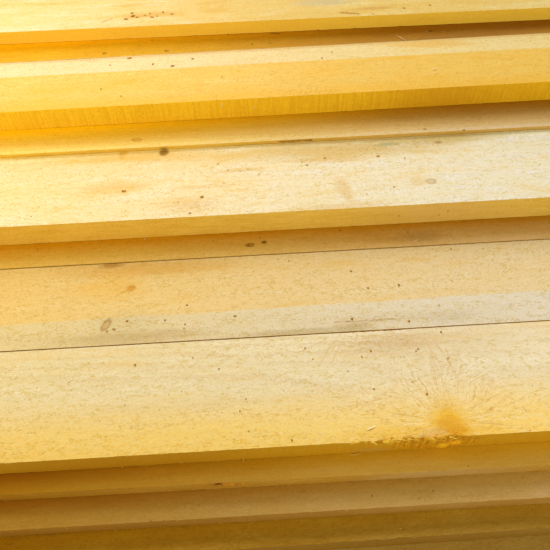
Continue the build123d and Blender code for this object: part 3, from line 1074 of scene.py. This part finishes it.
class Tree:
    """A Geometry Nodes tree with named inputs, run once on a mesh of points."""

    def __init__(self, name, inputs):
        self.group = bpy.data.node_groups.new(name, "GeometryNodeTree")
        self.group.interface.new_socket("Geometry", in_out="OUTPUT", socket_type="NodeSocketGeometry")
        self.group.interface.new_socket("Geometry", in_out="INPUT", socket_type="NodeSocketGeometry")
        self.values = {}
        for label, (kind, value) in inputs.items():
            socket = self.group.interface.new_socket(label, in_out="INPUT", socket_type=kind)
            self.values[socket.identifier] = value
        self.nodes = Nodes(self.group)
        self.points = self.nodes.add("NodeGroupInput")
        self.inputs = {label: self.nodes.outputs(self.points, label)[0] for label in inputs}

    def attribute(self, name, kind):
        return self.nodes.add("GeometryNodeInputNamedAttribute", {"data_type": kind}, {"Name": name})

    def plant(self, instance, size, kind):
        """An instance on every point, with the turn and the size that the point has, made real."""
        n = self.nodes
        turn = n.add("FunctionNodeEulerToRotation", inputs={0: self.attribute("turn", "FLOAT_VECTOR")})
        placed = n.add("GeometryNodeInstanceOnPoints", inputs={
            "Points": self.points, "Instance": instance, "Rotation": turn, "Scale": self.attribute(size, kind),
        })
        return n.add("GeometryNodeRealizeInstances", inputs={0: placed})

    def jostle(self, geometry, scale, amount):
        """Moves every point by a noise, as far as the amount."""
        n = self.nodes
        inputs = {"Vector": n.add("GeometryNodeInputPosition"), "Scale": scale, "Detail": 1.0}
        noise = n.add("ShaderNodeTexNoise", inputs=inputs, out=1)
        offset = n.vector("SCALE", n.vector("SUBTRACT", noise, (0.5, 0.5, 0.5)), Scale=amount)
        return n.add("GeometryNodeSetPosition", inputs={"Geometry": geometry, "Offset": offset})

    def finish(self, geometry):
        """Gives the real geometry its material and sends it out."""
        inputs = {"Geometry": geometry, "Material": self.inputs["Material"]}
        painted = self.nodes.add("GeometryNodeSetMaterial", inputs=inputs)
        out = self.group.nodes.new("NodeGroupOutput")
        self.group.links.new(painted.socket, out.inputs["Geometry"])

    def run(self, name, mesh, slot):
        """The tree's result as a plain mesh on a piece of its own."""
        piece = put(name, mesh)
        grow = piece.modifiers.new(self.group.name, "NODES")
        grow.node_group = self.group
        for identifier, value in self.values.items():
            grow[identifier] = value
        piece.data = baked(piece, grow)
        piece.data.name = name
        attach(piece, "root")


def point_mesh(name, spots, **attributes):
    """A mesh of loose points, with a value or a vector at each for every named attribute."""
    mesh = bpy.data.meshes.new(name)
    mesh.from_pydata([tuple(spot) for spot in spots], [], [])
    for label, values in attributes.items():
        values = np.asarray(values, dtype=float)
        vector = values.ndim == 2
        attribute = mesh.attributes.new(label, "FLOAT_VECTOR" if vector else "FLOAT", "POINT")
        attribute.data.foreach_set("vector" if vector else "value", values.ravel())
    return mesh


def plain_material(name, light, dark, roughness=0.9):
    """Bits too small for grain: a colour that varies from one to the next."""
    material, n, shader = new_material(name)
    place = n.add("ShaderNodeTexCoord", out="Object")
    mix = n.step(n.noise(place, 260.0, 2.0, 0.6), -0.14, 0.14)
    n.tree.links.new(n.mix(mix, tuple(light), tuple(dark)).socket, shader.inputs["Base Color"])
    shader.inputs["Roughness"].default_value = roughness
    return material


# Bits of dirt, bark and sawdust that the picture shows: the pixel, and the length and width in millimetres
noted_specks = (
    (126, 19, 5.0, 2.2), (132, 13, 3.6, 2.0), (133, 16, 5.0, 3.2), (137, 17, 3.2, 2.0), (145, 15, 2.6, 1.6),
    (150, 13.5, 2.6, 1.8), (152, 17, 4.8, 2.2), (157, 16, 2.2, 1.6), (163, 12, 3.0, 2.4), (172, 14, 4.0, 1.6),
    (404, 8, 3.6, 1.8), (430, 5, 2.6, 2.2), (373, 14, 1.6, 1.2),
    (104.5, 53, 4.4, 2.4), (129.6, 58, 5.4, 2.4), (166.5, 50.6, 5.6, 2.4), (110, 65, 2.0, 1.6), (153, 64, 2.4, 2.2),
    (172.6, 65.8, 4.4, 2.2), (192.6, 58.8, 3.2, 2.0), (101, 89, 1.6, 2.2), (121, 96, 2.0, 1.6), (222, 77, 1.6, 1.4),
    (322, 58, 1.6, 2.0), (332, 52, 1.4, 2.0), (228, 34, 1.4, 1.4), (152, 40, 1.4, 1.2), (252, 44, 2.0, 1.8),
    (270, 43, 2.4, 3.0), (427, 31, 5.0, 3.0), (318, 30, 2.2, 1.4), (425, 129, 3.6, 1.8), (464, 130, 3.0, 1.6),
    (202, 197, 3.4, 2.6), (124, 191, 4.4, 2.6), (190, 213, 2.4, 1.8), (224, 183, 0.9, 0.9), (218, 164, 1.5, 1.5),
    (259, 174, 1.2, 1.2), (228, 170, 1.3, 1.3), (240, 171, 1.3, 1.0), (178, 202, 1.6, 1.4), (325, 158, 1.8, 2.2),
    (307, 165, 2.2, 1.4), (394, 187, 1.4, 2.4), (367, 194, 1.0, 1.0), (405, 158, 1.4, 1.2), (378, 156, 3.6, 1.6),
    (288, 195, 0.9, 0.9), (439, 215, 1.6, 1.6), (399, 216, 1.4, 1.6), (448, 211, 1.4, 1.6), (302, 162, 1.4, 1.2),
    (250, 245, 5.0, 3.2), (264, 242, 3.6, 2.0), (213, 241, 1.8, 1.8), (340, 230, 1.6, 1.6), (408, 232, 1.6, 1.4),
    (289, 261, 1.4, 1.4), (451, 249, 1.4, 1.2), (351, 271, 2.6, 1.6), (368, 288, 2.2, 2.0), (399, 285, 1.6, 2.2),
    (127, 321, 2.4, 1.6), (107, 331, 1.8, 1.8), (114, 329, 3.2, 1.2), (165, 320, 1.6, 1.4), (185, 324, 1.4, 1.4),
    (235, 316, 3.0, 1.4), (187, 305, 2.2, 1.2), (184, 328, 1.2, 1.2), (352, 319, 2.0, 2.0), (409, 321, 2.0, 2.2),
    (439, 305, 1.2, 1.2), (441, 332, 1.6, 1.6), (135, 365, 2.0, 2.0), (219, 369, 1.4, 1.4), (246, 399, 1.0, 1.2),
    (374, 389, 1.6, 1.2), (427, 394, 2.0, 2.0), (292, 440, 1.2, 1.6), (418, 349, 1.8, 1.4), (371, 351, 1.4, 2.0),
    (362, 357, 1.2, 1.6), (313, 359, 1.0, 1.2), (193, 358, 1.0, 1.4), (240, 411, 1.2, 1.4), (305, 348, 1.2, 1.2),
    (416, 351, 1.2, 1.2), (448, 358, 1.6, 1.2), (413, 382, 0.9, 0.9), (348, 371, 0.9, 0.9), (249, 431, 1.2, 1.0),
    (304, 491, 1.2, 1.0), (372, 496, 1.2, 1.0), (433, 491, 0.9, 0.9), (151, 521, 1.0, 1.0),
)


class BOARDS_OT_dirt(bpy.types.Operator):
    """Strews specks of dirt and bark over the faces, with those that the picture shows in their places"""

    bl_idname = "boards.dirt"
    bl_label = "Dirt"

    def execute(self, context):
        scene = context.scene
        sizes, view = scene.board_sizes, View(scene.board_stage)
        chance = random.Random(sizes.seed)
        # A round lump looks smaller than the box that it fills
        swollen, thick, thin = 1.3, 0.5 * MM, 0.3 * MM
        spots, shapes, turns = [], [], []
        for x, y, length, width in noted_specks:
            plank, side, spot = view.find((x, y))
            spots.append(spot)
            rest = (thick, width * MM) if side == "edge" else (width * swollen * MM, thick)
            shapes.append((length * swollen * MM, *rest))
            turns.append((0.0, 0.0, plank.turn + chance.uniform(-0.4, 0.4)))
        for plank in planks.values():
            depth = shown_depth(plank)
            for _ in range(int(depth * plank.length * sizes.specks_per_square_metre)):
                u, v = chance.uniform(-0.49, 0.49) * plank.length, chance.uniform(0.01, 0.98) * depth
                size = sizes.speck_size * chance.uniform(0.45, 1.25) * chance.uniform(0.6, 1.2)
                spots.append((*plank.world(u, v), plank.top - thin))
                shapes.append((size * chance.uniform(1.0, 1.9), size, thin))
                turns.append((0.0, 0.0, chance.uniform(0.0, math.pi)))
        dirt = plain_material("dirt", linear(198, 140, 20), scene.board_colours.dirt)
        tree = Tree("speck", {"Bulge": ("NodeSocketFloat", 0.25 * MM), "Material": ("NodeSocketMaterial", dirt)})
        bit = tree.nodes.add("GeometryNodeMeshIcoSphere", inputs={"Radius": 0.5, "Subdivisions": 1})
        bits = tree.plant(bit, "shape", "FLOAT_VECTOR")
        tree.finish(tree.jostle(bits, scale=900.0, amount=tree.inputs["Bulge"]))
        tree.run("specks_of_dirt", point_mesh("specks", spots, shape=shapes, turn=turns), "layer_5")
        return {"FINISHED"}


class BOARDS_OT_fibres(bpy.types.Operator):
    """Grows loose fibres on the sawn arrises, thickest where the saw tore them"""

    bl_idname = "boards.fibres"
    bl_label = "Loose fibres"

    def execute(self, context):
        scene = context.scene
        sizes, colours, view = scene.board_sizes, scene.board_colours, View(scene.board_stage)
        chance = random.Random(sizes.seed + 1)
        loose, pulled, fluff = [], [], []
        for plank in planks.values():
            if plank.number != 1 or plank.layer in (1, layer_count):
                continue
            for _ in range(int(plank.length * sizes.fibres_per_metre)):
                u = chance.uniform(-0.49, 0.49) * plank.length
                height = plank.thickness - 0.3 * MM if chance.random() < 0.75 else 0.4 * MM
                length = sizes.fibre_length * chance.uniform(0.4, 1.3)
                self.root(loose, chance, plank, u, height, length, sizes.fibre_width, spread=0.6, lean=(-0.5, 0.5))
        plank = planks[5, 1]
        torn_arris, torn_edge = ((352, 450), (450, 436)), ((402, 447), (470, 440))
        low, high = (view.on_face(plank, pixel)[0] for pixel in torn_arris)
        for _ in range(int((high - low) * sizes.pulled_per_metre)):
            u, height = chance.uniform(low, high), plank.thickness + chance.gauss(-0.1, 0.6) * MM
            width = sizes.fibre_width * chance.uniform(4.0, 10.0)
            length = chance.uniform(4.0, 11.0) * MM
            self.root(pulled, chance, plank, u, height, length, width, spread=0.3, lean=(0.0, 0.4), right=1.0)
        low, high = (view.on_edge(plank, pixel)[0] for pixel in torn_edge)
        for _ in range(int((high - low) * sizes.fluff_per_metre)):
            u, height = low + (high - low) * chance.random(), chance.uniform(0.15, 0.85) * plank.thickness
            length = chance.uniform(1.0, 3.2) * MM
            self.root(fluff, chance, plank, u, height, length, sizes.fibre_width, spread=1.3, lean=(-0.4, 1.2))
        shaded = [part * 0.6 for part in colours.fibre]
        honey, amber = linear(255, 212, 84), linear(240, 172, 30)
        corn, rust = linear(246, 190, 50), linear(206, 142, 24)
        for name, roots, slot, tone in (
            ("loose_fibres", loose, "layer_7", plain_material("loose_fibre", colours.fibre, shaded)),
            ("pulled_fibres", pulled, "layer_5", plain_material("pulled_fibre", honey, amber)),
            ("fluff", fluff, "layer_5", plain_material("fluff", corn, rust)),
        ):
            spots, lengths, widths, turns = zip(*roots)
            mesh = point_mesh(f"{name}_roots", spots, length=lengths, width=widths, turn=turns)
            self.tree(name, tone).run(name, mesh, slot)
        return {"FINISHED"}

    def root(self, roots, chance, plank, u, height, length, width, spread, lean, right=0.5):
        """Notes one fibre on the front edge, that leaves the board along its grain and a little outwards."""
        spot = (*plank.world(u, 0.35 * MM), plank.bottom + height)
        outwards = chance.uniform(0.05, spread)
        heading = -outwards if chance.random() < right else math.pi + outwards
        if spot[1] > cad_bounds[0].y + length + 2.0 * MM:
            roots.append((spot, length, width, (0.0, chance.uniform(*lean), plank.turn + heading)))

    def tree(self, name, material):
        """Curved hairs that taper from their roots, with the length, width and turn that each root has."""
        tree = Tree(name, {"Curl": ("NodeSocketFloat", 2.2 * MM), "Material": ("NodeSocketMaterial", material)})
        n = tree.nodes
        line = n.add("GeometryNodeCurvePrimitiveLine", inputs={"Start": (0.0, 0.0, 0.0), "End": (1.0, 0.0, 0.0)})
        hair = tree.plant(n.add("GeometryNodeResampleCurve", inputs={"Curve": line, "Count": 5}), "length", "FLOAT")
        share = n.add("GeometryNodeSplineParameter")
        curled = tree.jostle(hair, scale=160.0, amount=share * share * tree.inputs["Curl"] * 4.0)
        ring = n.add("GeometryNodeCurvePrimitiveCircle", inputs={"Resolution": 3, "Radius": 0.5})
        thickness = (1.0 - share * 0.85) * tree.attribute("width", "FLOAT")
        tree.finish(n.add("GeometryNodeCurveToMesh", inputs={
            "Curve": curled, "Profile Curve": ring, "Scale": thickness, "Fill Caps": True,
        }))
        return tree


# Splinters and chips that the picture shows: the pixel that they start from, their width, their paleness,
# and their course from there in millimetres
noted_splinters = (
    ((243, 458), 0.9, 0, (
        (0, 0.6, 1.5), (0.4, -0.6, -0.5), (0.6, -1.4, -2.5), (-0.4, -1.6, -4.5), (-2.4, -1.0, -6.0), (-4.2, -0.2, -6.3),
    )),
    ((367, 429), 1.2, 1, ((0.0, -0.8, 0.1), (2.4, 0.2, 0.4), (4.8, 1.2, 0.4), (7.6, 2.0, 0.1))),
    ((348, 454), 1.1, 0, ((-1.0, 0.2, -0.6), (3.0, -0.9, 0.0), (8.0, -0.8, 0.6), (12.0, 0.1, 1.2))),
    ((222, 106), 0.7, 1, ((0.0, 0.2, -2.5), (0.2, -0.8, 0.5), (0.6, -1.0, 3.5), (0.2, -0.6, 6.0))),
    ((255, 108), 0.6, 1, ((0.0, 0.2, -2.0), (-0.4, -0.8, 1.0), (-0.8, -0.9, 4.0))),
    ((145, 239), 0.6, 1, ((0.0, 0.4, 2.0), (0.0, -0.7, 0.0), (0.3, -0.9, -2.2), (0.2, -0.5, -3.8))),
    ((397, 38), 0.7, 1, ((0.0, 5.0, 0.3), (2.5, 2.0, 0.9), (6.0, -3.0, 0.9), (10.0, -7.0, 0.3))),
    ((432, 69), 1.4, 1, ((0.0, -0.5, 0.2), (3.0, 0.0, 0.8), (7.0, 0.5, 0.3))),
    ((434, 73), 1.0, 1, ((0.0, -0.5, 0.2), (2.0, 0.0, 0.7), (4.5, 0.5, 0.3))),
    ((399, 528), 0.6, 1, ((0.0, 0.6, -1.2), (1.2, -0.8, 0.3), (1.0, -1.0, 2.0), (-0.2, -0.8, 3.0))),
    ((409, 206), 0.6, 1, ((0.0, 0.5, -1.6), (1.2, -0.8, -0.2), (3.2, -0.8, 1.2))),
    ((416, 243), 0.4, 1, ((0.0, 0.0, 0.1), (1.6, 2.4, 0.4), (3.0, 5.4, 0.2))),
    ((413, 242), 0.4, 1, ((0.0, 0.0, 0.1), (2.4, 1.4, 0.4), (5.4, 3.4, 0.2))),
    ((122, 467), 0.5, 0, ((0.0, 0.4, 1.0), (0.2, -0.6, -0.6), (-0.3, -0.8, -2.2))),
    ((180, 462), 0.5, 0, ((0.0, 0.4, 1.0), (1.2, -0.7, -0.2), (3.4, -0.8, -1.0))),
    ((218, 461), 0.5, 0, ((0.0, 0.4, 1.0), (0.3, -0.7, -0.6), (0.6, -0.8, -2.6))),
)


def sliver(course, width):
    """A flat sliver along a course, that tapers to both its ends."""
    course = np.array(course)
    count = 12
    share = np.linspace(0.0, len(course) - 1.0, count)
    bends = np.arange(len(course))
    smooth = np.stack([np.interp(share, bends, course[:, k]) for k in range(3)], axis=1)
    smooth[1:-1] = (smooth[:-2] + 2.0 * smooth[1:-1] + smooth[2:]) / 4.0
    run = np.gradient(smooth, axis=0)
    run /= np.linalg.norm(run, axis=1)[:, None]
    side = np.cross(run, (0.15, 0.3, 1.0))
    side /= np.linalg.norm(side, axis=1)[:, None]
    over = np.cross(side, run)
    taper = np.sin(np.linspace(0.12, 0.9, count) * math.pi)[:, None] * width / 2.0
    rings = [smooth + side * taper, smooth + over * taper * 0.45, smooth - side * taper, smooth - over * taper * 0.45]
    return np.stack(rings, axis=1)


class BOARDS_OT_splinters(bpy.types.Operator):
    """Lays the splinters and chips that the picture shows"""

    bl_idname = "boards.splinters"
    bl_label = "Splinters"

    def execute(self, context):
        colours, view = context.scene.board_colours, View(context.scene.board_stage)
        tones = (
            plain_material("splinter", colours.fibre, colours.gold),
            plain_material("pale_splinter", linear(252, 244, 220), colours.pale),
        )
        for number, (pixel, width, pale, course) in enumerate(noted_splinters, 1):
            plank, _, spot = view.find(pixel)
            points = sliver(course, width) * MM + np.array(spot)
            mesh = skin_over(f"splinter_{number}", points)
            add_piece(f"splinter_{number}", mesh, tones[pale])
        return {"FINISHED"}


class BOARDS_OT_stage(bpy.types.Operator):
    """Sets the camera, the light and the plain pale floor"""

    bl_idname = "boards.stage"
    bl_label = "Stage"

    def execute(self, context):
        scene, stage = context.scene, context.scene.board_stage
        view = View(stage)
        lens = bpy.data.cameras.new("picture")
        lens.sensor_width = 36.0
        lens.lens = lens.sensor_width * stage.focal / stage.picture
        lens.clip_start, lens.clip_end = 0.01, 100.0
        scene.camera = put("camera", lens)
        turn = Matrix((view.right, view.up, -view.forward)).transposed()
        scene.camera.matrix_world = Matrix.Translation(view.place) @ turn.to_4x4()
        self.sun("key", stage.key_light, stage.key_colour, stage.key_size, stage.key_bearing, stage.key_height)
        self.sun("fill", stage.fill_light, stage.fill_colour, stage.fill_size, stage.fill_bearing, stage.fill_height)
        self.glow(stage)
        self.sky(scene, stage)
        self.floor(stage)
        scene.view_settings.view_transform = "Standard"
        return {"FINISHED"}

    def sun(self, name, strength, colour, size, bearing, height):
        """A distant lamp. At bearing 0 it stands in front of the stack."""
        sun = bpy.data.lights.new(name, "SUN")
        sun.energy, sun.color, sun.angle = strength, tuple(colour), size
        put(name, sun).rotation_euler = (math.pi / 2.0 - height, 0.0, bearing)

    def glow(self, stage):
        """A warm soft lamp above the left of the upper layers."""
        spot = bpy.data.lights.new("glow", "SPOT")
        spot.energy, spot.color = stage.glow_light, tuple(stage.glow_colour)
        spot.spot_size, spot.spot_blend, spot.shadow_soft_size = stage.glow_spread, 1.0, 0.15
        upper = planks[7, 1]
        place = Vector((-0.88, upper.origin[1] - 0.28, upper.top + 0.95))
        target = Vector((-0.44, upper.origin[1] + 0.06, upper.top))
        lamp = put("glow", spot)
        lamp.location = place
        lamp.rotation_euler = (target - place).to_track_quat("-Z", "Y").to_euler()

    def sky(self, scene, stage):
        """Soft light from all round, with white behind the stack in the picture."""
        world = bpy.data.worlds.new("sky")
        world.use_nodes = True
        world.node_tree.nodes.clear()
        n = Nodes(world.node_tree)
        seen = n.add("ShaderNodeLightPath", out="Is Camera Ray")
        around = n.add("ShaderNodeBackground", inputs={"Color": (*stage.sky_colour, 1.0), "Strength": stage.sky_light})
        behind = n.add("ShaderNodeBackground", inputs={"Color": (1.0, 1.0, 1.0, 1.0), "Strength": 1.0})
        both = n.add("ShaderNodeMixShader", inputs={0: seen, 1: around, 2: behind})
        output = n.tree.nodes.new("ShaderNodeOutputWorld")
        n.tree.links.new(both.socket, output.inputs["Surface"])
        scene.world = world

    def floor(self, stage):
        half = stage.floor_half
        corners = [(x * half, y * half, 0.0) for x, y in ((-1, -1), (1, -1), (1, 1), (-1, 1))]
        mesh = bpy.data.meshes.new("floor")
        mesh.from_pydata(corners, [], [(0, 1, 2, 3)])
        floor = put("floor", mesh)
        material, _, shader = new_material("pale_floor")
        shader.inputs["Base Color"].default_value = (*stage.floor_colour, 1.0)
        shader.inputs["Roughness"].default_value = 0.9
        mesh.materials.append(material)


class BOARDS_PT_panel(bpy.types.Panel):
    """The steps that dress the stack, in order"""

    bl_label = "Board stack"
    bl_idname = "BOARDS_PT_panel"
    bl_space_type = "VIEW_3D"
    bl_region_type = "UI"
    bl_category = "Boards"

    def draw(self, context):
        scene = context.scene
        for group in (scene.board_sizes, scene.board_colours, scene.board_stage):
            box = self.layout.box()
            for name in type(group).__annotations__:
                box.prop(group, name)
        for operator in steps:
            self.layout.operator(operator.bl_idname)


steps = (
    BOARDS_OT_front, BOARDS_OT_stored, BOARDS_OT_dirt, BOARDS_OT_fibres, BOARDS_OT_splinters, BOARDS_OT_stage,
)
classes = (BoardSizes, BoardColours, StageSettings) + steps + (BOARDS_PT_panel,)


def register():
    for kind in classes:
        bpy.utils.register_class(kind)
    bpy.types.Scene.board_sizes = PointerProperty(type=BoardSizes)
    bpy.types.Scene.board_colours = PointerProperty(type=BoardColours)
    bpy.types.Scene.board_stage = PointerProperty(type=StageSettings)


def unregister():
    for name in ("board_sizes", "board_colours", "board_stage"):
        delattr(bpy.types.Scene, name)
    for kind in reversed(classes):
        bpy.utils.unregister_class(kind)


def main():
    register()
    bpy.ops.boards.front()
    bpy.ops.boards.stored()
    bpy.ops.boards.dirt()
    bpy.ops.boards.fibres()
    bpy.ops.boards.splinters()
    bpy.ops.boards.stage()


if __name__ == "__main__":
    main()
